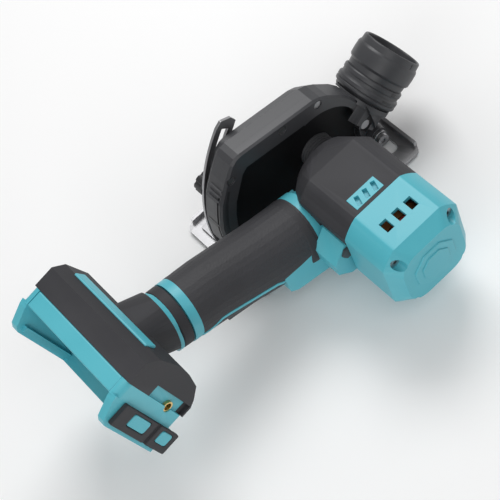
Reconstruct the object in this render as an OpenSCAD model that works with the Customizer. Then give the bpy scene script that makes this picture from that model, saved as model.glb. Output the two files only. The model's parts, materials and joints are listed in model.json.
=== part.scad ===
// Cordless mini trim saw: in-line barrel handle, slide-on battery foot,
// side-mounted motor drum, geared head, closed blade case with dust port,
// steel base plate hinged at the front with a slotted depth quadrant.
// Frame: +X is the cutting direction, +Y is to the left of the blade, +Z is up.
// The origin lies on the underside of the base plate, in the blade's middle
// plane, straight below the spindle.

/* [Blade and spindle] */
// Diameter of the saw blade
blade_d = 60; // [56:0.5:60.5]
// Thickness of the blade
blade_t = 1.2; // [1:0.1:1.6]
// Height of the spindle above the underside of the base
spindle_h = 31; // [30.5:0.5:32]
// Number of teeth on the blade
blade_teeth = 24; // [16:4:36]

/* [Gears] */
// Gear module
gear_m = 0.9; // [0.85:0.05:0.9]
// Teeth on the motor pinion
pinion_z = 9; // [9:1:9]
// Teeth on the driven gear (multiple of four)
wheel_z = 24; // [24:4:24]
// Rearward offset of the motor axis from the spindle
motor_back = 9.2; // [9:0.2:9.8]

/* [Motor drum] */
// Half width of the motor drum
drum_r = 24.4; // [24.2:0.1:24.8]
// Y of the drum's outer end face
drum_end = -109; // [-110:0.5:-108.5]
// Wall of the plastic shells
wall = 2.4; // [2:0.1:2.6]

/* [Handle and battery foot] */
// Y of the handle's middle plane
hand_y = -40; // [-41:0.5:-39]
// Radius of the grip at its rear end
grip_r = 16.3; // [16:0.1:16.6]
// Thickness of the rubber overmould
skin = 1.8; // [1.4:0.1:2]
// Width of the battery foot
foot_w = 74.4; // [73.6:0.4:75.2]
// Nose-up pitch of the battery foot
foot_tilt = 9; // [8:0.5:10]

/* [Blade case and base] */
// Thickness of the base plate
plate_t = 2; // [1.6:0.1:2]
// Width of the base plate
plate_w = 65; // [64:0.5:66]
// Pivot distance ahead of the spindle
pivot_x = 32.5; // [32:0.5:33]
// Pivot height above the underside of the base
pivot_z = 10; // [9.8:0.1:10.2]
// Radius of the depth slot about the pivot
slot_r = 94; // [93.5:0.5:94.5]

/* [Dust port] */
// Upward lean of the dust port
port_tilt = 28; // [27:0.5:29]
// Outer radius of the hose spigot
port_r = 16.6; // [16.4:0.1:16.9]
// Inner radius of the hose spigot
port_bore = 14.8; // [14.4:0.1:15]

/* [Hidden] */
$fn = 48;

teal = [0.04, 0.46, 0.52];
dark = [0.11, 0.11, 0.12];
flange_grey = [0.3, 0.3, 0.32];
fit = 0.02; // gap between touching parts

// Axes along y, each given as x, z
gear_distance = gear_m * (pinion_z + wheel_z) / 2;
motor_up = sqrt(gear_distance * gear_distance - motor_back * motor_back);
gear_angle = atan2(motor_up, -motor_back);
spindle_at = [0, spindle_h];
motor_at = [-motor_back, spindle_h + motor_up];
pivot_at = [pivot_x, pivot_z];

// ---------- helpers ----------
// Extrudes a profile drawn in x, z between two y values
module extrude_y(y0, y1) {
  translate([0, y1, 0]) rotate([90, 0, 0]) linear_extrude(height = y1 - y0) children();
}
module at_xz(at) { translate([at[0], 0, at[1]]) children(); }
// Cylinder along y about an x, z point
module rod(at, r, y0, y1, facets = 48) {
  translate([at[0], y1, at[1]]) rotate([90, 0, 0])
    cylinder(r = r, h = y1 - y0, $fn = facets);
}
module rods(points, r, y0, y1) {
  for (p = points) rod(p, r, y0, y1, 24);
}
module ring(at, outer_r, inner_r, y0, y1) {
  difference() {
    rod(at, outer_r, y0, y1);
    rod(at, inner_r, y0 - 1, y1 + 1);
  }
}
// Upright cylinders on x, y points
module pegs(points, r, z, h) {
  for (p = points) translate([p[0], p[1], z]) cylinder(r = r, h = h, $fn = 24);
}
module disc(r, z, h, facets = 64) {
  translate([0, 0, z]) cylinder(r = r, h = h, $fn = facets);
}
module box(corner, size) { translate(corner) cube(size); }
module round_rect(w, h, r) {
  square([w - 2 * r, h], center = true);
  square([w, h - 2 * r], center = true);
  for (sx = [-1, 1], sz = [-1, 1])
    translate([sx * (w / 2 - r), sz * (h / 2 - r)]) circle(r = r);
}
function polar(r, angle) = r * [cos(angle), sin(angle)];
// Lower y of a layer on side -1 or 1 whose inner face is inner away from y = 0
function side_y(side, inner, thickness) = side < 0 ? -inner - thickness : inner;

// ---------- handle and head forms ----------
// Handle stations: x, z, radius added to the grip radius
handle_stations = [[-118, 58.6, 0.2], [-96, 53.3, 0.9], [-64, 42.6, 1.9], [-28, 33.8, 2.3]];
// Raised rings around the handle, rear to front:
// place [x, z], tilt, radius added to the grip radius, length
grip_rings = [
  [[-124.2, 60], 102, -0.1, 2.2],
  [[-115.5, 58], 103, 0.3, 5],
  [[-40, 36], 102, 2.6, 6]];
drum_joint = -75; // y where the motor cap meets the head

// Frame on the handle's middle plane, its z running forward along the handle
module handle_frame(at, tilt) {
  translate([at[0], hand_y, at[1]]) rotate([0, tilt, 0]) children();
}
module ring_frame(i) { handle_frame(grip_rings[i][0], grip_rings[i][1]) children(); }
// In the solids below, grow offsets the surface outward from the rubber's outside
module handle_disc(i, grow) {
  station = handle_stations[i];
  handle_frame(station, 104)
    cylinder(r = grip_r + station[2] + grow, h = 0.1, center = true, $fn = 32);
}
module handle_solid(grow) {
  for (i = [0:2]) hull() {
    handle_disc(i, grow);
    handle_disc(i + 1, grow);
  }
}
module drum_2d(grow) {
  width = 2 * (drum_r + grow);
  translate(motor_at) intersection() {
    round_rect(width, width, 11);
    circle(r = drum_r + 4.2 + grow, $fn = 64);
  }
}
module drum_solid(grow, y0, y1) { extrude_y(y0, y1) drum_2d(grow); }
// Motor drum tapering to the gear neck at the blade case
module head_solid(grow) {
  nose_shift = min(grow, 0);
  hull() {
    drum_solid(grow, drum_joint, -42);
    rod(spindle_at, 17.8 + grow, -52, -31, 32);
    rod([-9.6, spindle_h + 9], 22.4 + grow, -31.1, -31, 32);
    rod([-6.6, spindle_h + 6], 19 + grow, -24, -23.9, 32);
    rod(spindle_at, 13.4 + grow, -17.7 + nose_shift, -17.6 + nose_shift, 32);
  }
}
// Web between the head and the underside of the handle
module web(y_grow, grow) {
  extrude_y(-58 - y_grow, -22 + y_grow)
    polygon([[-64, 40], [-64, 27 - grow], [-60, 23.5 - grow], [-38, 18 - grow],
      [-27, 18.6 - grow], [-27, 40]]);
}
// Block around the lock button
module button_block(y0 = -73, y1 = -57) {
  extrude_y(y0, y1)
    polygon([[-43, 41], [-43, 33], [-36, 26], [-27, 24], [-27, 50], [-34, 51]]);
}

// ---------- battery foot forms ----------
foot_half = foot_w / 2;
foot_wall = 4.4;
foot_rear = -19.3;   // x in the foot frame
foot_bottom = -30;   // z in the foot frame
foot_floor = 3.2;

module foot_frame() {
  translate([-155, hand_y - 0.8, 75]) rotate([0, -foot_tilt, 0]) children();
}
module foot_block(x0, x1, half_width, z0, z1, corner = 4) {
  translate([x0, 0, 0]) rotate([90, 0, 90]) linear_extrude(height = x1 - x0)
    translate([0, (z0 + z1) / 2]) round_rect(2 * half_width, z1 - z0, corner);
}
// Flare from the foot to the handle's rear end
module neck_flare(grow) {
  hull() {
    for (section = [[14, 28, 30], [20, 25, 28]]) // x, height, width
      foot_frame() translate([section[0], -1.5, -2]) rotate([0, 90, 0])
        linear_extrude(height = 0.1)
          round_rect(section[1] + 2 * grow, section[2] + 2 * grow, 9);
    handle_disc(0, grow);
  }
}
module foot_core() {
  foot_block(-6, 3, foot_half, foot_bottom, 27);
  foot_block(2.9, 13, foot_half - 2, -28, 25);
  // side walls, lower towards the rear, joined by the floor
  for (side = [-1, 1]) {
    y0 = side_y(side, foot_half - foot_wall, foot_wall);
    extrude_y(y0, y0 + foot_wall)
      polygon([[foot_rear, foot_bottom], [-5, foot_bottom], [-5, 27], [-8, 26],
        [-17.6, 20.5], [foot_rear, 17.5]]);
  }
  box([foot_rear, -foot_half, foot_bottom], [14, foot_w, foot_floor]);
}
// Root of the handle, joins the foot block to the neck
module neck_root(grow) {
  translate([0, -1.5, 0])
    foot_block(12.9, 15 + grow, 12 + grow, -13.5 - grow, 9.5 + grow, 6);
}
module foot_hollow() {
  box([-6.1, -foot_half + foot_wall, foot_bottom + foot_floor],
    [13.2, foot_w - 2 * foot_wall, 60]);
}
// Guide ribs for the battery on the inner faces of both side walls
module battery_ribs() {
  for (side = [-1, 1])
    box([-17.5, side_y(side, foot_half - foot_wall - 2, 2.1), -26.9], [3, 2.1, 44]);
}
module clip_nut_rod(side, r, length) {
  foot_frame() translate([3.4, side * (foot_half - 3), -14]) rotate([90, 0, 0])
    cylinder(r = r, h = length, center = true, $fn = 32);
}

// ---------- housing ----------
// Places as x, z
post_points = [[-106, 62.5], [-56, 49], [-106, 48]];
cap_points = [for (sx = [-1, 1], sz = [-1, 1]) motor_at + 17.3 * [sx, sz]];
button_at = [-33.4, 45];
trigger_pivot = [-92, 43.5];
head_seat = hand_y + 5; // y under the housing screw heads

module body_outer() {
  handle_solid(-skin);
  neck_flare(-skin);
  head_solid(-skin);
  web(0, 0);
  button_block();
  for (i = [0:2]) ring_frame(i) cylinder(r = grip_r + grip_rings[i][2], h = grip_rings[i][3]);
}
module body_inner() {
  // straight bore through the handle, and its way into the foot
  handle_frame([-120, 59.1], 90 + atan2(24.8, 90)) cylinder(r = grip_r - 4.1, h = 96);
  handle_frame([-130.4, 61.2], 99) cylinder(r = 10, h = 14);
  foot_frame() box([7, -9, -8], [22, 16, 15]);
  // drum and gear neck
  head_solid(-skin - wall);
  drum_solid(-wall, drum_joint - 1, drum_joint + 1);
  rod(spindle_at, 9.7, -30, -10);
}
module trigger_room() { box([-97, hand_y - 9.6, 12], [39, 19.2, 36]); }
module shell() {
  difference() {
    union() {
      body_outer();
      foot_frame() {
        foot_core();
        neck_root(0);
      }
    }
    body_inner();
    foot_frame() foot_hollow();
    trigger_room();
  }
  foot_frame() battery_ribs();
}
module screw_pockets(r) { rods(post_points, r, hand_y - 8.5, hand_y + 6); }
// Half of the shell on side -1 (right) or 1 (left), less any children
module housing_half(side) {
  difference() {
    intersection() {
      union() {
        shell();
        rods(post_points, 4, hand_y - 8, hand_y + 8);
      }
      box([-200, hand_y - (side < 0 ? 100 : 0), -20], [260, 100, 160]);
    }
    rods(post_points, 1.5, hand_y - 8, hand_y + 8);
    screw_pockets(1.5);
    rod(trigger_pivot, 1.52, hand_y - 11.1, hand_y + 11.1, 32);
    clip_nut_rod(side, 2.9, 6);
    children();
  }
}
module housing_right() {
  color(teal) housing_half(-1) {
    rod(button_at, 4.28, -80, -59.2, 6);
    rods(cap_points, 1.45, -84.5, -66);
  }
}
module housing_left() {
  color(teal) housing_half(1) rods(post_points, 3.2, head_seat, 20);
}
module housing_screws() {
  color("silver") {
    rods(post_points, 1.49, hand_y - 7, head_seat + 0.1);
    rods(post_points, 2.9, head_seat + fit, head_seat + 2);
  }
}

// ---------- motor cap ----------
cap_shoulder = -102; // y where the cap begins to taper

module motor_cap() {
  color(teal) difference() {
    union() {
      drum_solid(0, cap_shoulder, drum_joint - fit);
      hull() {
        drum_solid(0, cap_shoulder - 0.1, cap_shoulder);
        drum_solid(-5.6, drum_end, drum_end + 1);
      }
    }
    // hollow, leaving the screw posts and the bearing boss
    difference() {
      drum_solid(-wall, cap_shoulder, -70);
      rods(cap_points, 3.4, -106, -70);
      rod(motor_at, 7.4, -110, -100);
    }
    rod(motor_at, 5.51, -105.9, -99);
    // three vents in the top
    for (i = [0:2]) box([-19.3 + 8 * i, -93.2, motor_at[1] + 18], [4.5, 6.6, 12]);
    rods(cap_points, 1.5, -120, -70);
    rods(cap_points, 3, -120, -101);
  }
}
module cap_screws() {
  color("silver") for (p = cap_points) {
    rod(p, 1.44, -101.1, -68, 24);
    difference() {
      rod(p, 2.9, -103.5, -101 - fit, 24);
      rod(p, 1.2, -104, -102.2, 6);
    }
  }
}

// ---------- rubber and louvres ----------
module head_overmould() {
  color(dark) difference() {
    head_solid(0);
    head_solid(-skin + fit);
    drum_solid(1, drum_joint - 1, drum_joint + 0.1);
    rod(spindle_at, 12.4, -60, 0);
    // the underside, the web and the strip beside the lock button stay teal
    box([-60, -100, -10], [100, 100, 32]);
    extrude_y(-80, -54) polygon([[-60, 10], [-25, 10], [-25, 50], [-60, 60]]);
    handle_frame([-62, 40.8], 102) cylinder(r = grip_r + 2.7, h = 36);
    web(0.05, 0.02);
    button_block(-73.05, -56.95);
    // window for the louvre insert
    box([-20.5, -73, 50], [18, 8.1, 30]);
  }
}
module louvre_insert() {
  color(teal) difference() {
    intersection() {
      difference() {
        head_solid(0.2);
        head_solid(-skin + 0.04);
      }
      extrude_y(-72.9, -65) polygon([[-20.4, 55], [-2.6, 55], [-2.6, 80], [-20.4, 80]]);
    }
    for (k = [0:2])
      translate([-18.6 + k * 5.4, -71.6, 40]) rotate([0, 0, -18]) cube([2.4, 5.4, 40]);
  }
}
module grip_overmould() {
  color(dark) difference() {
    handle_solid(0);
    handle_solid(-skin + fit);
    // trimmed at the middle and front rings
    ring_frame(1) disc(30, -40, 45.02, 48);
    ring_frame(2) disc(30, -0.02, 40, 48);
    web(1, 0.02);
    button_block(-74, -56.9);
    box([-62, hand_y - 6, 12], [24, 12, 12]);
    trigger_room();
    rods(post_points, 3.3, head_seat, 20);
  }
}
module foot_overmould() {
  color(dark) difference() {
    union() {
      foot_frame() extrude_y(-foot_half, foot_half)
        polygon([[3.05, 26.4], [14.5, 26.4], [19.6, 20], [22.5, 1.5], [21.6, -8], [19, -20],
          [13, -27], [9, -30], [3.05, -30]]);
      neck_flare(0);
    }
    neck_flare(-skin + fit);
    foot_frame() {
      foot_block(2, 13.05, foot_half - 1.95, -28.05, 25.05);
      neck_root(fit);
      for (side = [-1, 1]) box([2, side * (foot_half - 0.4) - 1.6, -28.6], [7.4, 3.2, 35]);
    }
    // trimmed at the rear ring
    ring_frame(0) disc(40, -0.02, 40, 48);
    screw_pockets(3.3);
  }
}
module side_bumpers() {
  bumper_t = 2.5;
  color(dark) foot_frame() for (side = [-1, 1]) difference() {
    box([-17, side_y(side, foot_half + fit, bumper_t), -36], [12, bumper_t, 54]);
    // recesses: z, height
    for (recess = [[-9, 17], [-32, 11]])
      box([-13.5, side * (foot_half + 3) - 2, recess[0]], [7, 4, recess[1]]);
    box([-18, side * (foot_half + 3.4) - 2, -17], [18, 4, 3]);
  }
}
module clip_nuts() {
  color("gold") for (side = [-1, 1]) difference() {
    clip_nut_rod(side, 2.88, 5);
    clip_nut_rod(side, 2, 12);
  }
}

// ---------- electrics ----------
terminal_y = 9; // distance of each terminal from the foot's middle
button_facets = 6;

module terminal_block() {
  color("dimgray") foot_frame() difference() {
    box([-7, -17, -22], [14, 34, 34]);
    for (side = [-1, 1]) box([-8, side * terminal_y - 0.6, -23], [9, 1.2, 28]);
    box([-8, -4, -16], [5, 8, 22]);
  }
}
module terminals() {
  color("gold") foot_frame() for (side = [-1, 1])
    box([-6.4, side * terminal_y - 0.4, -22.5], [7.3, 0.8, 27]);
}
module board_frame() { translate([-99, hand_y - 8, 56.6]) rotate([0, 15, 0]) children(); }
module controller_board() {
  color("darkgreen") board_frame() cube([15, 16, 1.6]);
  color("dimgray") board_frame() box([5, 4, 1.5], [7, 7, 2.6]);
}
module switch_module() {
  color("dimgray") translate([-82, hand_y - 7, 43]) rotate([0, 17, 0]) difference() {
    cube([22, 14, 9]);
    box([-1, 5, 7], [4, 4, 3]);
  }
}
module trigger_frame() { at_xz(trigger_pivot) rotate([0, 15, 0]) children(); }
module trigger() {
  color(dark) difference() {
    union() {
      trigger_frame() box([-2, hand_y - 9.3, -11], [33, 18.6, 10]);
      rod(trigger_pivot, 3, hand_y - 9, hand_y + 9, 32);
    }
    rod(trigger_pivot, 1.55, hand_y - 20, hand_y + 20, 32);
    // seat of the trigger spring
    trigger_frame() translate([24, hand_y, -4.4]) cylinder(r = 2.6, h = 6, $fn = 32);
  }
}
module trigger_pin() {
  color("silver") rod(trigger_pivot, 1.5, hand_y - 11, hand_y + 11, 32);
}
// Coil spring of four turns rising along z
module spring(radius, height) {
  turns = 4;
  steps = 32;
  for (i = [0:steps - 1]) hull() for (k = [i, i + 1])
    translate(concat(polar(radius, 360 * turns * k / steps), [height * k / steps]))
      sphere(r = 0.35, $fn = 6);
}
module trigger_spring() {
  color("silver") translate([-69.6, hand_y, 33.6]) spring(1.7, 4.4);
}
module lock_button() {
  color(dark) {
    rod(button_at, 4.2, -74.2, -66.6, button_facets);
    rod(button_at, 2.2, -66.7, -61.8, 24);
  }
}
module lock_spring() {
  color("silver") translate([button_at[0], -59.6, button_at[1]]) rotate([90, 0, 0])
    spring(2.9, 6.4);
}
module power_leads() {
  for (side = [-1, 1]) color(side > 0 ? "black" : "red")
    translate([-122, hand_y + side * 5, 60.4]) rotate([0, 104, 0])
      cylinder(r = 1.1, h = 18, $fn = 16);
}

// ---------- motor ----------
stack_y = [-84, -62]; // ends of the stator and the rotor
motor_shaft_r = 2.5;
bearing_r = 8;        // outer radius of the three larger bearings
bearing_gap = 0.03;   // gap between a bearing and its shaft

module stator() {
  color([0.45, 0.45, 0.47]) difference() {
    rod(motor_at, 19.6, stack_y[0], stack_y[1], 64);
    rod(motor_at, 12.2, stack_y[0] - 1, stack_y[1] + 1);
    // six winding slots
    for (i = [0:5]) at_xz(motor_at) rotate([0, 60 * i, 0]) box([11, -85, -3.4], [7, 26, 6.8]);
  }
}
module windings() {
  color([0.72, 0.36, 0.16]) {
    ring(motor_at, 18, 12.6, stack_y[0] - 4, stack_y[0] - fit);
    ring(motor_at, 18, 12.6, stack_y[1] + fit, stack_y[1] + 4);
  }
}
module rotor() {
  color([0.35, 0.35, 0.37]) difference() {
    rod(motor_at, 11.6, stack_y[0], stack_y[1]);
    rod(motor_at, motor_shaft_r, -90, -50, 32);
  }
}
module cooling_fan() {
  color([0.5, 0.08, 0.05]) {
    // hub, disc and eleven blades
    difference() {
      rod(motor_at, 6, -97.5, -89, 32);
      rod(motor_at, motor_shaft_r, -98, -88, 32);
    }
    difference() {
      rod(motor_at, 18.6, -90.2, -89);
      rod(motor_at, 5.5, -91, -88, 32);
    }
    for (i = [0:10])
      at_xz(motor_at) rotate([0, 360 * i / 11, 0]) box([5.6, -97, -0.6], [12.6, 7, 1.2]);
  }
}
module motor_bearings() {
  bore_r = motor_shaft_r + bearing_gap;
  color("silver") {
    ring(motor_at, 5.5, bore_r, -105.8, -101);
    ring(motor_at, bearing_r, bore_r, -56, -51);
  }
}

// ---------- gears and gear case ----------
addendum = 0.66;
dedendum = 1;
// Corners of a tooth from its centre line, as shares of the tooth pitch
tooth_corners = [-0.235, -0.1, 0.1, 0.235];
spindle_r = 4;

function gear_outline(teeth) = [for (i = [0:teeth - 1], k = [0:3])
  let (rise = k == 0 || k == 3 ? -dedendum : addendum)
  polar(gear_m * teeth / 2 + rise, 360 / teeth * (i + tooth_corners[k]))];
module gear(at, teeth, y0, y1, turn) {
  at_xz(at) extrude_y(y0, y1) rotate(turn) polygon(gear_outline(teeth));
}
module pinion_shaft() {
  color("silver") {
    rod(motor_at, motor_shaft_r, -105.6, -41.8, 32);
    // turned so that a tooth gap faces the driven gear
    gear(motor_at, pinion_z, -41.9, -31.4, gear_angle + 180 / pinion_z + 180);
  }
}
module drive_gear() {
  color("silver") difference() {
    gear(spindle_at, wheel_z, -39.4, -31.6, gear_angle);
    rod(spindle_at, spindle_r, -40, -20, 32);
  }
}
module gear_case() {
  color([0.16, 0.16, 0.17]) difference() {
    union() {
      rod(spindle_at, 9.3, -33, -4.7);
      // seven ribs around the neck
      for (k = [0:6]) ring(spindle_at, 9.6, 9, -16.5 + k * 1.6, -15.7 + k * 1.6);
      rod(spindle_at, 12.9, -49, -30.2);
      rod(motor_at, 10.2, -56, -33);
    }
    // room for the gears
    rod(spindle_at, 12.1, -40, -31.2);
    rod(motor_at, 5.6, -42.4, -31.2);
    // spindle bore and bearing seats
    rod(spindle_at, 6.2, -32, -10);
    rod(spindle_at, bearing_r, -10.4, -4);
    rod(spindle_at, bearing_r, -46, -39);
    // motor shaft bore and bearing seat
    rod(motor_at, 3.1, -53, -39);
    rod(motor_at, bearing_r, -57, -51);
  }
}
module gear_case_screws() {
  points = [for (angle = [250, 320]) spindle_at + polar(10.6, angle)];
  color("silver") {
    rods(points, 1.2, -52, -49 - fit);
    rods(points, 2.1, -53.2, -51.9);
  }
}

// ---------- spindle and blade ----------
arbor_r = 5;      // spindle tip and the holes it fits
flange_r = 12.5;
flange_end = 2.6; // outer faces of the two flanges, from the blade's middle
// Blade tooth corners: radius added to the blade's, share of the tooth pitch
blade_corners = [[0, 0], [-0.5, 0.5], [-4, 0.62], [-3.4, 0.9]];

module spindle() {
  color("silver") difference() {
    union() {
      rod(spindle_at, spindle_r, -45.9, -0.7);
      rod(spindle_at, 5.4, -30.4, -11.4);
      rod(spindle_at, arbor_r, -0.8, 1.4);
    }
    rod(spindle_at, 2, -14, 3, 32);
  }
}
module spindle_bearings() {
  color("silver") for (y0 = [-10.3, -45.9])
    ring(spindle_at, bearing_r, spindle_r + bearing_gap, y0, y0 + 5);
}
module inner_flange() {
  color(flange_grey) difference() {
    union() {
      rod(spindle_at, flange_r, -flange_end, -0.6);
      rod(spindle_at, 7, -4.6, -2.5);
    }
    rod(spindle_at, spindle_r, -6, 0);
    rod(spindle_at, arbor_r, -0.82, 0);
  }
}
module outer_flange() {
  color(flange_grey) difference() {
    rod(spindle_at, flange_r, blade_t / 2, flange_end);
    rod(spindle_at, arbor_r, 0, 1.45);
    rod(spindle_at, 2.05, 0, 4, 32);
  }
}
module saw_blade() {
  color([0.2, 0.2, 0.22]) difference() {
    at_xz(spindle_at) extrude_y(-blade_t / 2, blade_t / 2)
      polygon([for (i = [0:blade_teeth - 1], corner = blade_corners)
        polar(blade_d / 2 + corner[0], 360 / blade_teeth * (i + corner[1]))]);
    rod(spindle_at, arbor_r, -3, 3);
    // five round holes
    for (i = [0:4])
      at_xz(spindle_at) rotate([0, 72 * i, 0]) translate([21, 0, 0]) rotate([90, 0, 0])
        cylinder(r = 3, h = 6, center = true, $fn = 32);
  }
}
module blade_bolt() {
  color([0.2, 0.2, 0.2]) difference() {
    union() {
      rod(spindle_at, 1.98, -12, 2.7, 32);
      rod(spindle_at, 4.5, flange_end + fit, 6.2, 32);
    }
    rod(spindle_at, 2.3, 4, 7, 6);
  }
}

// ---------- depth arc ----------
// Point at a radius and an angle above the horizontal, measured rearward from the pivot
function from_pivot(r, angle) = pivot_at + r * [-cos(angle), sin(angle)];
stud_at = from_pivot(slot_r, 22);

// ---------- blade case ----------
// Side outline of the case, x and z, clockwise from the rear foot
case_outline = [
  [-63, 12.4], [-67.2, 17], [-68.5, 25], [-66.9, 38.8], [-64.6, 46.6], [-61.3, 55.5],
  [-53.5, 66.7], [-46.5, 75.4], [-43.4, 77.4], [-40, 77.8], [7.5, 69.2], [12.2, 67],
  [16.4, 63.4], [24.4, 54.4], [28, 48.6], [33, 36], [36, 24], [37.4, 16], [37.8, 7],
  [35.6, 4], [30, 3.6]];
// Space for the blade and the chips, x and z, open below
cavity_outline = [
  [-61.6, 0], [-64.6, 17.8], [-66, 25], [-64.6, 38], [-62.2, 45.8], [-59.2, 54.2],
  [-52, 64.8], [-45, 73.4], [-42.6, 75], [-40, 75.2], [6.8, 67.2], [11, 65.4],
  [15, 62.2], [23, 53.4], [26.6, 48], [31.4, 35.8], [34.2, 24.2], [34.2, 15.4],
  [29.6, 15.4], [28.2, 0]];
// Rear and upper part of the right side opening, x and z
opening_outline = [
  [-59, 2], [-58.6, 30], [-56, 41], [-52.6, 49.6], [-46.8, 58.4], [-43, 64],
  [-39.4, 66.4], [-2, 59.4], [0, 31], [0, 2]];
case_bolts = [[-50, 66.2], [-14, 69], [9, 64.4], [-63.6, 26]]; // x, z
case_split = -5.6; // y of the joint between the halves
port_screw_at = [28, 27];

module case_2d() { polygon(case_outline); }
// Outline shrunk about a middle point, for the sloping edges
module inset_2d(inset) {
  middle = [-16, 41];
  translate(middle) scale(1 - inset / 46) translate(-middle) polygon(case_outline);
}
// Side opening of the right half: straight rear, round front around the neck
module opening_2d() {
  polygon(opening_outline);
  difference() {
    translate(spindle_at) circle(r = 27.8, $fn = 64);
    translate([-40, -20]) square([100, 38]);
  }
  polygon([[-4, 2], [-4, 30], [26, 30], [25, 18], [25, 2]]);
}
// Its z runs along the dust port, forward and up
module port_frame() { translate([35, -3, 29]) rotate([0, 90 - port_tilt, 0]) children(); }
module dust_bore(z, h) { port_frame() disc(12.4, z, h); }

module case_right() {
  color(dark) difference() {
    union() {
      extrude_y(-9.8, case_split) case_2d();
      hull() {
        extrude_y(-9.9, -9.8) case_2d();
        extrude_y(-11.2, -11.1) inset_2d(1.2);
      }
      rod(pivot_at, 5.6, -15.2, -8);
    }
    // recess in the side, leaving the pivot boss
    extrude_y(-20, -7.2) difference() {
      opening_2d();
      translate(pivot_at) circle(r = 8);
    }
    extrude_y(-20, -7.2) polygon([[-56, 2], [-56, 14], [20, 14], [20, 2]]);
    extrude_y(-5.7, -3) polygon(cavity_outline);
    // long slot in the rear rim
    extrude_y(-9.2, -8) polygon([[-80, 30], [-67, 30], [-63, 45], [-57, 60], [-80, 60]]);
    rod(spindle_at, 9.72, -20, 0);
    rod(pivot_at, 2, -20, -6.4, 32);
    dust_bore(-12, 30);
    rods(case_bolts, 1, -14, 0);
    rods(case_bolts, 2.5, -14, -9.3);
  }
}
module case_left() {
  left_y = case_split + fit;
  color(dark) difference() {
    union() {
      difference() {
        union() {
          extrude_y(left_y, 1) case_2d();
          hull() {
            extrude_y(0.9, 1) case_2d();
            extrude_y(6.9, 7) inset_2d(5.4);
          }
        }
        extrude_y(-6, 2.6) polygon(cavity_outline);
      }
      // bosses for the case screws and the left pivot screw
      rods(case_bolts, 2.1, left_y, 2.7);
      rod(pivot_at, 5, 1, 7.4);
    }
    rods(case_bolts, 0.96, -6, 1.6);
    rod(pivot_at, 2, 3.2, 12, 32);
    rod(spindle_at, 15.5, -2, 8, 64);
    rod(stud_at, 2.02, -1, 9, 32);
    dust_bore(-12, 30);
  }
}
module case_screws() {
  color("silver") {
    rods(case_bolts, 0.94, -9.35, 1.5);
    rods(case_bolts, 2.3, -10.6, -9.3 - fit);
  }
}

// ---------- dust port ----------
module dust_elbow() {
  color(dark) difference() {
    union() {
      port_frame() {
        disc(14.7, -9, 12.6);
        disc(16.4, 0.8, 2.8);
      }
      // boss for the fixing screw
      rod(port_screw_at, 4.4, -15, -11.22, 32);
      box([28, -15, 23.4], [9, 3.78, 8]);
    }
    dust_bore(-20, 40);
    // clear of the case, its left face and its right side
    extrude_y(-11.21, 7.02) case_2d();
    extrude_y(6.9, 20) translate([-20, 0]) square([54.5, 70]);
    extrude_y(-30, -15.01) translate([-20, 0]) square([52, 70]);
    rod(port_screw_at, 1.6, -20, -8, 24);
    rod(port_screw_at, 2.9, -20, -13.4, 24);
    rod(pivot_at, 8.4, -20, 8, 32);
  }
}
module dust_collar() {
  color(dark) port_frame() difference() {
    union() {
      disc(17.6, 3.62, 3.4);
      disc(16.6, 7, 1.6);
      disc(17.9, 8.4, 4.2);
    }
    disc(12.9, 3, 20);
    disc(15.6, 5.6, 10);
    // two slots in the rim
    for (angle = [40, 220]) rotate([0, 0, angle]) box([15.8, -3, 9.4], [6, 6, 2.2]);
  }
}
module dust_outlet() {
  color(dark) port_frame() difference() {
    union() {
      disc(15.54, 5.7, 7.2);
      disc(17.4, 12.7, 3.2);
      disc(port_r, 15.8, 16.9);
      disc(port_r - 0.6, 32.6, 0.9);
    }
    disc(13, 5, 9);
    disc(port_bore, 13.9, 20);
  }
}
module port_screw() {
  color("silver") {
    rod(port_screw_at, 1.58, -13.45, -11.3, 24);
    rod(port_screw_at, 2.8, -14.8, -13.4 - fit, 24);
  }
}

// ---------- base ----------
plate_l = 117;
plate_front = 44.5;  // x of the front edge
plate_right = -34.5; // y of the right edge
lip_t = 1.8;
plate_top = plate_t + fit; // where parts rest on the plate
// Rivets as x, y
ear_rivets = [[24.5, -25], [24.5, 17.5]];
rear_rivets = [[-62, 18], [-50, 18]];
rivet_r = 1.5;
ear_t = 1.6;
foot_t = 1.2; // feet of the ears

module base_plate() {
  color("silver") difference() {
    union() {
      translate([plate_front - plate_l / 2, plate_w / 2 + plate_right, 0])
        linear_extrude(height = plate_t) round_rect(plate_l, plate_w, 5);
      // turned-up front lip and side lip
      box([plate_front - lip_t, -31, plate_t - 0.1], [lip_t, 56, 4.2]);
      box([-68, 28.7, plate_t - 0.1], [104, lip_t, 3.4]);
    }
    // blade slot and sight window
    box([-37, -5.4, -1], [68, 10.8, 6]);
    translate([34.4, -18.6, -1]) linear_extrude(height = 6) round_rect(7, 11.4, 3.2);
    pegs(concat(ear_rivets, rear_rivets), rivet_r, -1, 6);
  }
}
module pivot_bracket() {
  // two upright ears folded from feet riveted to the plate
  color("silver") difference() {
    for (ear = [[-17, -29], [8, 9.5]]) { // y of the ear, y of its foot
      hull() {
        rod(pivot_at, 4.6, ear[0], ear[0] + ear_t, 32);
        box([20, ear[0], plate_top], [17, ear_t, foot_t]);
      }
      box([20, ear[1], plate_top], [9, 12.1, foot_t]);
    }
    rod(pivot_at, 2.04, -30, 20, 32);
    pegs(ear_rivets, rivet_r, -1, 9);
  }
}
module pivot_screws() {
  // y ranges of shank, head and socket
  screws = [
    [[-17.3, -7], [-19.4, -17.2], [-20, -18.4]],
    [[3.6, 9.8], [9.75, 11.6], [10.8, 12]]];
  color("silver") for (s = screws) {
    rod(pivot_at, 1.98, s[0][0], s[0][1], 32);
    difference() {
      rod(pivot_at, 3.8, s[1][0], s[1][1], 32);
      rod(pivot_at, 1.6, s[2][0], s[2][1], 6);
    }
  }
}

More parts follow.
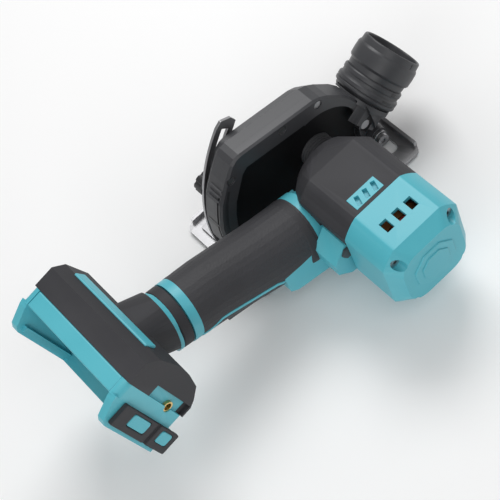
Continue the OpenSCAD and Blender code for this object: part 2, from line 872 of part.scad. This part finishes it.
// ---------- depth quadrant ----------
function arc(r, angles) = [for (angle = angles) from_pivot(r, angle)];
module depth_quadrant() {
  slot_half = 2.15;
  quadrant_y = 7.9;
  color("silver") {
    difference() {
      extrude_y(quadrant_y, quadrant_y + 1.6) polygon(concat(
        arc(slot_r + 6, [-7:2:45]),
        [from_pivot(slot_r + 5, 47.6), from_pivot(slot_r - 1, 49),
          from_pivot(slot_r - 5.4, 48), from_pivot(slot_r - 5.8, 45)],
        arc(slot_r - 6, [43:-2:-7])));
      // slot concentric with the pivot
      extrude_y(6, 11) polygon(concat(
        arc(slot_r + slot_half, [13:2:45]), arc(slot_r - slot_half, [45:-2:13])));
      box([-100, 5, -20], [100, 10, 20 + plate_top]);
    }
    // foot riveted to the plate
    difference() {
      box([-67, quadrant_y, plate_top], [22, 15, 1.6]);
      pegs(rear_rivets, rivet_r, 0, 9);
    }
  }
}
module quadrant_rivets() {
  color("silver") {
    pegs(concat(ear_rivets, rear_rivets), rivet_r - 0.01, 0.3, 4);
    pegs(ear_rivets, 2.7, plate_t + 1.24, 1.1);
    pegs(rear_rivets, 2.7, plate_t + 1.64, 1.1);
  }
}
module clamp_stud() {
  color("silver") {
    rod(stud_at, 1.98, 2.5, 14.8, 32);
    rod(stud_at, 3.2, 1, 2.58, 6);
  }
}
module depth_knob() {
  color(dark) difference() {
    rod(stud_at, 6.4, 9.56, 15.6);
    rod(stud_at, 2.02, 6, 18, 32);
    // eight grip flutes
    for (k = [0:7])
      at_xz(stud_at) rotate([0, 45 * k, 0]) translate([7.2, 10.6, 0]) rotate([-90, 0, 0])
        cylinder(r = 1.5, h = 8, $fn = 24);
  }
}

housing_right();
housing_left();
housing_screws();
motor_cap();
cap_screws();
head_overmould();
louvre_insert();
grip_overmould();
foot_overmould();
side_bumpers();
clip_nuts();
terminal_block();
terminals();
controller_board();
switch_module();
trigger();
trigger_pin();
trigger_spring();
lock_button();
lock_spring();
power_leads();
stator();
windings();
rotor();
pinion_shaft();
cooling_fan();
motor_bearings();
gear_case();
gear_case_screws();
drive_gear();
spindle();
spindle_bearings();
inner_flange();
outer_flange();
saw_blade();
blade_bolt();
case_right();
case_left();
case_screws();
dust_elbow();
dust_collar();
dust_outlet();
port_screw();
base_plate();
pivot_bracket();
pivot_screws();
depth_quadrant();
quadrant_rivets();
depth_knob();
clamp_stud();
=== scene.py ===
# Looks of a cordless mini trim saw, built round its CAD frame.
# +X is the front, +Z is up and -Y is the saw's right. The blade case lies in the XZ plane
# near y = 0, the motor drum reaches out to -Y, and the grip runs back to the battery foot.
# Pieces are given in millimetres and degrees; Blender, the stage and the lights use metres.
import bpy, bmesh, json, math
from mathutils import Vector, Matrix


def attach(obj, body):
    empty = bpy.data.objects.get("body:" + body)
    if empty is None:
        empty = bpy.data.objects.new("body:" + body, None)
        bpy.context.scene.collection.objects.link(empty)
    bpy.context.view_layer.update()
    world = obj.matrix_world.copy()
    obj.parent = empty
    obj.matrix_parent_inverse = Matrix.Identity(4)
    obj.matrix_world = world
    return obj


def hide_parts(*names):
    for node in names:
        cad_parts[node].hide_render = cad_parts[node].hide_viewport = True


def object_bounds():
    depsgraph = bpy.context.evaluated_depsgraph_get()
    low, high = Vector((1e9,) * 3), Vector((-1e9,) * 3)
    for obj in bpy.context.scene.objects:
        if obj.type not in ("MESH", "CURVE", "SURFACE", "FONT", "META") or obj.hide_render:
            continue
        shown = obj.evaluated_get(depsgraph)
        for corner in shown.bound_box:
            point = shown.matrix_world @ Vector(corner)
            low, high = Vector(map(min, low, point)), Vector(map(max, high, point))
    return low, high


MM = 0.001
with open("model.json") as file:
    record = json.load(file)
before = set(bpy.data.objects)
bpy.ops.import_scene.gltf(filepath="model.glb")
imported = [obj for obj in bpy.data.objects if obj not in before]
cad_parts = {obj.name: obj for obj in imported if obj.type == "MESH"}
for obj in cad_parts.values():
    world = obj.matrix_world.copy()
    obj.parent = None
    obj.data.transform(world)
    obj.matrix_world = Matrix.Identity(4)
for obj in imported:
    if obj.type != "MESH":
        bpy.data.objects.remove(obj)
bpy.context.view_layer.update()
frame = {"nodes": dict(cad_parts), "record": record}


# ---------------------------------------------------------------- materials
BUMP_DEPTH = 0.0004     # metres, for grain and dots
ROUGH_SWING = 0.075     # how far the patches push the roughness either way


def new_material(name, colour, patch_colour, rough, metal=0.0, spec=0.5, bump=0.05,
                 grain=900.0, brushed=False, wear=0.0, wear_colour=None,
                 dots=0.0, dot_scale=900.0):
    """Two patchy colours with fine grain; optional worn edges, brushing along X and dots."""
    material = bpy.data.materials.new(name)
    material.use_nodes = True
    tree = material.node_tree
    link = tree.links.new
    shader = tree.nodes["Principled BSDF"]

    def add(kind, values, **settings):
        node = tree.nodes.new(kind)
        for key, value in settings.items():
            setattr(node, key, value)
        for key, value in values.items():
            node.inputs[key].default_value = value
        return node

    coords = add("ShaderNodeTexCoord", {}).outputs["Object"]
    patches = add("ShaderNodeTexNoise", {"Scale": 28.0, "Detail": 6.0})
    link(coords, patches.inputs["Vector"])
    fine = add("ShaderNodeTexNoise", {"Scale": grain, "Detail": 3.0})
    if brushed:
        stretch = add("ShaderNodeMapping", {"Scale": (0.06, 1.0, 1.0)})
        link(coords, stretch.inputs["Vector"])
        link(stretch.outputs["Vector"], fine.inputs["Vector"])
    else:
        link(coords, fine.inputs["Vector"])

    contrast = add("ShaderNodeMapRange", {"From Min": 0.35, "From Max": 0.65})
    link(patches.outputs["Fac"], contrast.inputs["Value"])
    mix = add("ShaderNodeMix", {"A": (*colour, 1), "B": (*patch_colour, 1)}, data_type='RGBA')
    link(contrast.outputs["Result"], mix.inputs["Factor"])
    base = mix.outputs["Result"]
    if wear > 0:
        geometry = add("ShaderNodeNewGeometry", {})
        edges = add("ShaderNodeMapRange", {"From Min": 0.52, "From Max": 0.60, "To Max": wear})
        link(geometry.outputs["Pointiness"], edges.inputs["Value"])
        broken = add("ShaderNodeMath", {}, operation='MULTIPLY')
        link(edges.outputs["Result"], broken.inputs[0])
        link(patches.outputs["Fac"], broken.inputs[1])
        worn = add("ShaderNodeMix", {"B": (*wear_colour, 1)}, data_type='RGBA')
        link(base, worn.inputs["A"])
        link(broken.outputs["Value"], worn.inputs["Factor"])
        base = worn.outputs["Result"]
    link(base, shader.inputs["Base Color"])

    sheen = add("ShaderNodeMapRange",
                {"To Min": rough - ROUGH_SWING, "To Max": rough + ROUGH_SWING})
    link(patches.outputs["Fac"], sheen.inputs["Value"])
    link(sheen.outputs["Result"], shader.inputs["Roughness"])
    shader.inputs["Metallic"].default_value = metal
    shader.inputs["Specular IOR Level"].default_value = spec

    relief = add("ShaderNodeBump", {"Strength": bump, "Distance": BUMP_DEPTH})
    link(fine.outputs["Fac"], relief.inputs["Height"])
    if dots > 0:
        cells = add("ShaderNodeTexVoronoi", {"Scale": dot_scale})
        link(coords, cells.inputs["Vector"])
        dotted = add("ShaderNodeBump", {"Strength": dots, "Distance": BUMP_DEPTH})
        link(cells.outputs["Distance"], dotted.inputs["Height"])
        link(relief.outputs["Normal"], dotted.inputs["Normal"])
        relief = dotted
    link(relief.outputs["Normal"], shader.inputs["Normal"])
    return material


TEAL = new_material("teal_nylon", (0.075, 0.44, 0.53), (0.09, 0.47, 0.56), rough=0.42,
                    bump=0.06, grain=1500, wear=0.25, wear_colour=(0.25, 0.62, 0.68))
RUBBER = new_material("grip_rubber", (0.030, 0.030, 0.034), (0.038, 0.038, 0.042), rough=0.62,
                      spec=0.35, bump=0.10, grain=1800, wear=0.3,
                      wear_colour=(0.09, 0.09, 0.10))
DOTTED = new_material("grip_rubber_dotted", (0.034, 0.034, 0.038), (0.042, 0.042, 0.047),
                      rough=0.6, spec=0.4, bump=0.06, grain=1800, dots=0.30, dot_scale=900,
                      wear=0.2, wear_colour=(0.09, 0.09, 0.10))
DARK = new_material("dark_nylon", (0.040, 0.041, 0.045), (0.050, 0.051, 0.056), rough=0.44,
                    bump=0.07, grain=1300, wear=0.35, wear_colour=(0.15, 0.15, 0.16))
BLACK = new_material("black_nylon", (0.018, 0.018, 0.02), (0.028, 0.028, 0.03), rough=0.45)
# near-black recess floor: painted shade of the deep side recess, darker than the dark nylon
# around it
RECESS_SHADE = new_material("painted_recess_shade", (0.005, 0.005, 0.006), (0.008, 0.008, 0.009),
                       rough=0.6, spec=0.2, bump=0.08)
STEEL = new_material("zinc_steel", (0.40, 0.40, 0.41), (0.33, 0.33, 0.34), rough=0.40,
                     metal=1.0, grain=2200, brushed=True, wear=0.3,
                     wear_colour=(0.85, 0.85, 0.86))
OILED = new_material("oiled_steel", (0.30, 0.30, 0.32), (0.22, 0.22, 0.24), rough=0.36,
                     metal=1.0, grain=1800, wear=0.3, wear_colour=(0.5, 0.5, 0.52))
BLADE = new_material("ground_blade", (0.42, 0.42, 0.44), (0.34, 0.34, 0.36), rough=0.28,
                     metal=1.0, grain=2600, brushed=True)
CASTING = new_material("painted_casting", (0.055, 0.056, 0.06), (0.07, 0.07, 0.076),
                       rough=0.48, bump=0.16, wear=0.4, wear_colour=(0.3, 0.3, 0.31))
BRASS = new_material("turned_brass", (0.78, 0.55, 0.22), (0.66, 0.45, 0.17), rough=0.3,
                     metal=1.0, bump=0.03)
COPPER = new_material("enamelled_copper", (0.62, 0.25, 0.09), (0.5, 0.18, 0.06), rough=0.33,
                      metal=0.7, bump=0.25, grain=1300)
BOARD = new_material("solder_mask", (0.01, 0.12, 0.05), (0.015, 0.15, 0.06), rough=0.3,
                     bump=0.04)
RED = new_material("red_nylon", (0.40, 0.03, 0.02), (0.32, 0.02, 0.02), rough=0.45)

SLOT_MATERIALS = {
    "teal_plastic": TEAL, "dark_rubber": RUBBER, "dark_plastic": DARK, "black_plastic": BLACK,
    "steel": STEEL, "dark_steel": OILED, "blade_steel": BLADE, "gear_case": CASTING,
    "brass": BRASS, "copper": COPPER, "board_green": BOARD, "red_plastic": RED,
}

# ---------------------------------------------------------------- CAD pieces
EDGE_ANGLE = 34     # edges sharper than this are bevelled

# bevel width of the CAD pieces that get softened edges
EDGE_WIDTHS = {
    "motor_cap": 1.2, "foot_overmould": 1.2, "base_plate": 0.3, "case_right": 0.5,
    "case_left": 0.8, "housing_right": 0.6, "housing_left": 0.6, "side_bumpers": 0.8,
    "grip_overmould": 0.4, "head_overmould": 0.5, "dust_outlet": 0.3, "dust_collar": 0.4,
    "dust_elbow": 0.4, "lock_button": 0.6, "trigger": 0.8, "depth_quadrant": 0.2,
    "pivot_bracket": 0.2, "terminal_block": 0.3, "louvre_insert": 0.2, "depth_knob": 0.4,
    "blade_bolt": 0.2, "outer_flange": 0.2, "switch_module": 0.3,
}


def add_bevel(piece, width, segments, angle):
    bevel = piece.modifiers.new("edge", 'BEVEL')
    bevel.width = width * MM
    bevel.segments = segments
    bevel.limit_method = 'ANGLE'
    bevel.angle_limit = math.radians(angle)
    bevel.use_clamp_overlap = True
    return bevel


def add_shading(piece):
    shading = piece.modifiers.new("shade", 'WEIGHTED_NORMAL')
    shading.keep_sharp = True
    return shading


def soften(piece, width):
    piece.modifiers.new("weld", 'WELD').merge_threshold = 1e-5
    add_bevel(piece, width, 2, EDGE_ANGLE).miter_outer = 'MITER_ARC'
    add_shading(piece).weight = 80


slot_of = {part["node"]: part["material_slot"] for part in frame["record"]["subparts"]}
for name, piece in frame["nodes"].items():
    material = SLOT_MATERIALS[slot_of[name]]
    if name == "grip_overmould":
        material = DOTTED
    piece.data.materials.clear()
    piece.data.materials.append(material)
    if name in EDGE_WIDTHS:
        soften(piece, EDGE_WIDTHS[name])


# ---------------------------------------------------------------- mesh builders
def finish_piece(name, bm, slot, bevel=0.0, segments=2, angle=EDGE_ANGLE,
                 body="saw", stands=None, material=None):
    """Turn bm into an object that rides on body, and in place of the CAD piece stands."""
    bmesh.ops.remove_doubles(bm, verts=bm.verts, dist=1e-7)
    bmesh.ops.recalc_face_normals(bm, faces=bm.faces)
    for face in bm.faces:
        face.smooth = True
    mesh = bpy.data.meshes.new(name)
    bm.to_mesh(mesh)
    bm.free()
    piece = bpy.data.objects.new(name, mesh)
    bpy.context.scene.collection.objects.link(piece)
    mesh.materials.append(material or SLOT_MATERIALS[slot])
    if bevel > 0:
        add_bevel(piece, bevel, segments, angle)
    add_shading(piece)
    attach(piece, body)
    if stands:
        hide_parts(stands)


def skin(bm, sections, closed):
    """Join each section to the next; the last meets the first, or both ends are capped."""
    following = sections[1:] + (sections[:1] if closed else [])
    for here, there in zip(sections, following):
        for i in range(len(here)):
            j = (i + 1) % len(here)
            bm.faces.new((here[i], here[j], there[j], there[i]))
    if not closed:
        bm.faces.new(sections[0])
        bm.faces.new(list(reversed(sections[-1])))


def prism(name, outline, plane, y_start, y_end, slot, bevel, segments=2):
    """Sweep an outline along Y; plane places (a, b, y)."""
    bm = bmesh.new()
    start = [bm.verts.new(plane(a, b, y_start)) for a, b in outline]
    end = [bm.verts.new(plane(a, b, y_end)) for a, b in outline]
    bm.faces.new(start)
    bm.faces.new(list(reversed(end)))
    for i in range(len(outline)):
        j = (i + 1) % len(outline)
        bm.faces.new((start[i], end[i], end[j], start[j]))
    finish_piece(name, bm, slot, bevel, segments)


def axis_at(rise):
    """Unit vector to the front, rising by the given angle."""
    return Vector((math.cos(math.radians(rise)), 0, math.sin(math.radians(rise))))


def lathe(name, origin, rise, profile, slot, bevel, body="saw", stands=None):
    """Turn a closed profile of (distance along the axis, radius)."""
    steps = 96
    axis = axis_at(rise).normalized()
    side = axis.orthogonal().normalized()
    other = axis.cross(side)
    turns = [2 * math.pi * i / steps for i in range(steps)]
    bm = bmesh.new()
    rings = [[bm.verts.new((Vector(origin) + axis * distance
                            + (side * math.cos(t) + other * math.sin(t)) * radius) * MM)
              for t in turns] for distance, radius in profile]
    skin(bm, rings, closed=True)
    finish_piece(name, bm, slot, bevel, angle=25, body=body, stands=stands)


def side_plane(x, z, a_axis=(1, 0), b_axis=(0, 1), y=0.0):
    """Place (a, b, depth): a and b run along XZ directions, depth along Y."""
    return lambda a, b, depth: Vector((x + a * a_axis[0] + b * b_axis[0], y + depth,
                                       z + a * a_axis[1] + b * b_axis[1])) * MM


def edge_plane(x, z, out_x, out_z):
    """Plane whose b points outward from an edge and whose a runs along it."""
    length = math.hypot(out_x, out_z)
    out_x /= length
    out_z /= length
    return side_plane(x, z, (-out_z, out_x), (out_x, out_z))


def rounded(a0, a1, b0, b1, radius, steps=5):
    points = []
    for a, b, start in ((a1 - radius, b1 - radius, 0), (a0 + radius, b1 - radius, 90),
                        (a0 + radius, b0 + radius, 180), (a1 - radius, b0 + radius, 270)):
        for i in range(steps + 1):
            t = math.radians(start + 90 * i / steps)
            points.append((a + radius * math.cos(t), b + radius * math.sin(t)))
    return points


def octagon(radius):
    """Octagon with flats at the top and bottom."""
    turns = [math.radians(22.5) + 2 * math.pi * i / 8 for i in range(8)]
    return [(radius * math.cos(t), radius * math.sin(t)) for t in turns]


# ---------------------------------------------------------------- hose port
PORT_ORIGIN = Vector((35, -3, 29))
PORT_RISE = 28

# Profiles: (distance along the port axis, radius)
SPIGOT_PROFILE = [
    (6.2, 13.2), (6.2, 15.4), (12.8, 15.4), (15.8, 15.9), (16.2, 16.1), (19.0, 16.3),
    (19.6, 17.0), (20.4, 17.55), (24.0, 17.7), (27.8, 17.6), (28.7, 17.3), (29.5, 16.7),
    (32.7, 16.5), (33.3, 16.2), (33.5, 15.7), (33.3, 15.1), (32.6, 14.8), (15.0, 14.7),
    (13.4, 13.2),
]
COLLAR_PROFILE = [
    (3.7, 13.3), (3.7, 15.6), (4.6, 16.6), (5.4, 17.5), (6.1, 17.7), (6.9, 17.7), (7.1, 17.2),
    (7.5, 17.2), (7.7, 17.7), (9.6, 17.7), (10.2, 17.3), (10.6, 16.7), (12.2, 16.7),
    (12.7, 17.1), (14.6, 17.2), (15.3, 16.8), (15.4, 16.3), (15.4, 15.7), (5.9, 15.7),
    (5.9, 13.3),
]
# spigot with its shoulder, and the ribbed collar it turns in
lathe("spigot_shell", PORT_ORIGIN, PORT_RISE, SPIGOT_PROFILE, "dark_plastic", bevel=0.2,
      body="port_swivel", stands="dust_outlet")
lathe("collar_shell", PORT_ORIGIN, PORT_RISE, COLLAR_PROFILE, "dark_plastic", bevel=0.15,
      stands="dust_collar")


# ---------------------------------------------------------------- foot and grip
def tilted_foot():
    c, s = math.cos(math.radians(9)), math.sin(math.radians(9))
    return side_plane(-155, 75, (c, s), (-s, c), y=-40.8)


foot = tilted_foot()

# teal bridge across the top of the battery foot
prism("foot_bridge", [(-5.9, 26.9), (2.9, 26.9), (2.9, 20.6), (-5.9, 20.6)],
      foot, -32.7, 32.7, "teal_plastic", bevel=0.8, segments=3)

GRIP_Y = -40
# Centreline of the grip, back to front: (x, z, radius)
GRIP_STATIONS = [(-118, 58.6, 16.5), (-96, 53.3, 17.2), (-64, 42.6, 18.2), (-28, 33.8, 18.6)]
# Course of the teal line: (x, degrees below the rightmost point of the grip)
LINE_COURSE = [(-111.0, 22), (-107.0, 22), (-100.0, 8), (-67.5, 9), (-63.0, 15)]
LINE_STEP = 1.5
# Cross-section of the line: (degrees from its middle, height above the grip)
LINE_SECTION = [(-3.4, -0.5), (-3.2, 0.32), (3.2, 0.32), (3.4, -0.5)]


def grip_point(x, degrees, height):
    for (xa, za, ra), (xb, zb, rb) in zip(GRIP_STATIONS, GRIP_STATIONS[1:]):
        if x <= xb:
            break
    part = (x - xa) / (xb - xa)
    z = za + part * (zb - za)
    reach = ra + part * (rb - ra) + height
    fall = math.atan2(za - zb, xb - xa)
    t = math.radians(degrees)
    return Vector((x - reach * math.sin(t) * math.sin(fall), GRIP_Y - reach * math.cos(t),
                   z - reach * math.sin(t) * math.cos(fall))) * MM


def build_grip_line():
    """Teal line let into the right side of the grip."""
    path = []
    for (xa, ta), (xb, tb) in zip(LINE_COURSE, LINE_COURSE[1:]):
        steps = int((xb - xa) / LINE_STEP)
        path += [(xa + (xb - xa) * i / steps, ta + (tb - ta) * i / steps)
                 for i in range(steps)]
    path.append(LINE_COURSE[-1])
    bm = bmesh.new()
    rows = [[bm.verts.new(grip_point(x, t + offset, height)) for offset, height in LINE_SECTION]
            for x, t in path]
    skin(bm, rows, closed=False)
    finish_piece("grip_line", bm, "teal_plastic", bevel=0.2)


build_grip_line()

# teal strip let into the front of the foot, and the pads in the side bumpers
prism("foot_strip", [(18.9, 21.0), (20.2, 20.8), (22.0, 15.0), (22.0, 13.6), (20.4, 13.6)],
      foot, -27, 29, "teal_plastic", bevel=0.6, segments=3)
for i, side in enumerate((-1, 1)):
    for j, (low, high) in enumerate(((-8.6, 7.6), (-31.6, -21.4))):
        prism("bumper_pad_%d%d" % (i, j), rounded(-13.3, -6.7, low, high, 1.6),
              foot, side * 38.3, side * 39.9, "teal_plastic", bevel=0.5, segments=3)

# rubber sleeve between the two teal rings of the neck, and the fold at the front of the grip
lathe("neck_sleeve", (-121.9, GRIP_Y, 59.55), -12.5,
      [(0.0, 14.2), (0.05, 15.6), (0.7, 16.25), (5.6, 16.35), (6.3, 15.8), (6.4, 14.2)],
      "dark_rubber", bevel=0.2)
lathe("grip_fold", (-46.5, GRIP_Y, 37.9), -13.5,
      [(0.0, 17.6), (0.2, 18.45), (0.9, 18.75), (4.9, 18.9), (5.3, 18.5), (5.4, 17.6)],
      "dark_rubber", bevel=0.3)

# ---------------------------------------------------------------- motor drum end
# raised octagon with a smaller one on it
drum_end = side_plane(-9.2, 42.66)
prism("end_relief", octagon(13.6), drum_end, -108.6, -109.7, "teal_plastic", 0.7, 3)
prism("end_relief_pad", octagon(9.2), drum_end, -109.5, -110.3, "teal_plastic", 0.5, 3)

# ---------------------------------------------------------------- blade case
# ribs and slots on the rear edge
RIB_OUTLINE = [(-0.55, -0.5), (0.55, -0.5), (0.4, 0.75), (-0.4, 0.75)]
for i, (x, z) in enumerate(((-56.6, 62.3), (-58.4, 59.7), (-60.2, 57.1))):
    prism("case_rib_%d" % i, RIB_OUTLINE, edge_plane(x, z, -11.2, 7.8), -9.6, -0.6,
          "dark_plastic", bevel=0.2)
for i, (x, z) in enumerate(((-66.35, 40.8), (-68.2, 27.0))):
    prism("case_slot_%d" % i, rounded(-0.8, 0.8, -0.6, 0.06, radius=0.02, steps=1),
          edge_plane(x, z, -1.0, 0.16), -9.4, -0.8, "black_plastic", bevel=0.0)

# long dark slot in the rear rim of the right half: (x, z)
RIM_SLOT = [
    (-65.6, 27), (-64.3, 38.6), (-62.0, 46.2), (-58.8, 54.4), (-54.2, 61.6),
    (-53.0, 60.4), (-57.0, 53.4), (-59.9, 45.4), (-62.2, 38.2), (-63.4, 27),
]
prism("rim_slot", RIM_SLOT, side_plane(0, 0), -11.24, -10.6, "black_plastic", bevel=0.0)

WEB_CENTRE_Z = 31
WEB_FRONT_RADIUS = 27.5
WEB_HOLE_RADIUS = 9.85
WEB_RIGHT_Y, WEB_LEFT_Y = -7.36, -7.12
WEB_STEPS = 180
# Outline of the recess floor: (x, z), with an arc round the front
WEB_OUTLINE = [
    (-58.8, 12.2), (-58.4, 30), (-55.8, 41), (-52.4, 49.6), (-46.6, 58.4), (-42.8, 64),
    (-39.3, 66.2), (-2, 59.2),
    *((WEB_FRONT_RADIUS * math.cos(math.radians(a)),
       WEB_CENTRE_Z + WEB_FRONT_RADIUS * math.sin(math.radians(a))) for a in range(90, -28, -6)),
    (23.9, 17.6), (23.9, 4.5),
]


def cross(p, q):
    return p.x * q.y - p.y * q.x


def web_reach(t):
    """Distance from the hole's centre to the nearest crossing of the outline."""
    ray = Vector((math.cos(t), math.sin(t)))
    centre = Vector((0, WEB_CENTRE_Z))
    corners = [Vector(point) - centre for point in WEB_OUTLINE]
    reaches = []
    for start, end in zip(corners, corners[1:] + corners[:1]):
        edge = end - start
        spread = cross(ray, edge)
        if abs(spread) < 1e-9:      # edge parallel to the ray
            continue
        reach = cross(start, edge) / spread
        part = cross(start, ray) / spread
        if reach > 0 and -1e-6 <= part <= 1 + 1e-6:
            reaches.append(reach)
    return min(reaches)


def build_case_web():
    """Near-black floor of the side recess, with a hole for the gear neck; its near-black, darker
    than the dark nylon, is painted shade of the deep recess.
    """
    bm = bmesh.new()
    sections = []
    for i in range(WEB_STEPS):
        t = 2 * math.pi * i / WEB_STEPS
        reach = web_reach(t)
        sections.append([
            bm.verts.new(Vector((r * math.cos(t), y, WEB_CENTRE_Z + r * math.sin(t))) * MM)
            for r, y in ((WEB_HOLE_RADIUS, WEB_RIGHT_Y), (reach, WEB_RIGHT_Y),
                         (reach, WEB_LEFT_Y), (WEB_HOLE_RADIUS, WEB_LEFT_Y))])
    skin(bm, sections, closed=True)
    finish_piece("case_web", bm, "dark_plastic", material=RECESS_SHADE)


build_case_web()

# ---------------------------------------------------------------- port markings
# Black patches: name, distances along the axis, angles from +Y (90 is up), radii, body
PORT_PATCHES = [
    ("collar_slot_a", (8.2, 9.4), (158, 182), (17.4, 17.74), "saw"),
    ("collar_slot_b", (8.2, 9.6), (222, 238), (17.4, 17.74), "saw"),
    ("collar_window", (12.8, 15.0), (170, 181), (16.9, 17.24), "saw"),
    ("spigot_notch", (28.9, 32.4), (175, 178), (16.2, 16.72), "port_swivel"),
]


def port_point(distance, degrees, radius):
    axis = axis_at(PORT_RISE)
    side = Vector((0, 1, 0))
    t = math.radians(degrees)
    around = side * math.cos(t) + axis.cross(side) * math.sin(t)
    return (PORT_ORIGIN + axis * distance + around * radius) * MM


def port_patch(name, distances, angles, radii, body):
    steps = 8
    bm = bmesh.new()
    inner_near, inner_far, outer_near, outer_far = [
        [bm.verts.new(port_point(distance, angles[0] + (angles[1] - angles[0]) * i / steps,
                                 radius)) for i in range(steps + 1)]
        for radius in radii for distance in distances]
    skin(bm, list(zip(inner_near, inner_far, outer_far, outer_near)), closed=False)
    finish_piece(name, bm, "black_plastic", body=body)


for patch in PORT_PATCHES:
    port_patch(*patch)

# ---------------------------------------------------------------- stage, in metres
FLOOR_REACH = 6.0
FLOOR_GAP = 0.0005
scene = bpy.context.scene


def build_floor():
    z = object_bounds()[0][2] - FLOOR_GAP
    mesh = bpy.data.meshes.new("floor")
    bm = bmesh.new()
    bm.faces.new([bm.verts.new((x * FLOOR_REACH, y * FLOOR_REACH, z))
                  for x, y in ((-1, -1), (1, -1), (1, 1), (-1, 1))])
    bm.to_mesh(mesh)
    bm.free()
    floor = bpy.data.objects.new("floor", mesh)
    scene.collection.objects.link(floor)
    white = bpy.data.materials.new("floor_white")
    white.use_nodes = True
    shader = white.node_tree.nodes["Principled BSDF"]
    shader.inputs["Base Color"].default_value = (0.95, 0.95, 0.95, 1)
    shader.inputs["Roughness"].default_value = 0.9
    mesh.materials.append(white)


def build_world():
    world = bpy.data.worlds.new("soft")
    scene.world = world
    world.use_nodes = True
    background = world.node_tree.nodes["Background"]
    background.inputs["Color"].default_value = (1, 1, 1, 1)
    background.inputs["Strength"].default_value = 0.36


def area_light(name, place, target, size, power):
    light = bpy.data.lights.new(name, 'AREA')
    light.shape = 'RECTANGLE'
    light.size = size
    light.size_y = size * 0.7
    light.energy = power
    lamp = bpy.data.objects.new(name, light)
    scene.collection.objects.link(lamp)
    lamp.location = place
    aim = Vector(target) - Vector(place)
    lamp.rotation_euler = aim.to_track_quat('-Z', 'Y').to_euler()


def build_camera():
    lens = bpy.data.cameras.new("camera")
    lens.sensor_width = 36
    lens.lens = 108
    lens.clip_start = 0.01
    camera = bpy.data.objects.new("camera", lens)
    scene.collection.objects.link(camera)
    # the camera's own axes: right is squared up against back
    right = Vector((0.726, -0.633, -0.270))
    back = Vector((-0.145, -0.524, 0.839)).normalized()
    right = (right - back * right.dot(back)).normalized()
    turn = Matrix((right, back.cross(right), back)).transposed().to_4x4()
    camera.matrix_world = Matrix.Translation((-0.1738, -0.4257, 0.6712)) @ turn
    scene.camera = camera


build_floor()
build_world()
area_light("key", (0.30, 0.35, 0.75), target=(-0.03, -0.03, 0.04), size=0.55, power=4.4)
area_light("fill", (-0.75, -0.45, 0.55), target=(-0.05, -0.03, 0.04), size=0.7, power=2.6)
area_light("top", (-0.05, -0.5, 0.9), target=(-0.05, -0.03, 0.03), size=0.5, power=1.3)
build_camera()
scene.view_settings.view_transform = 'Standard'
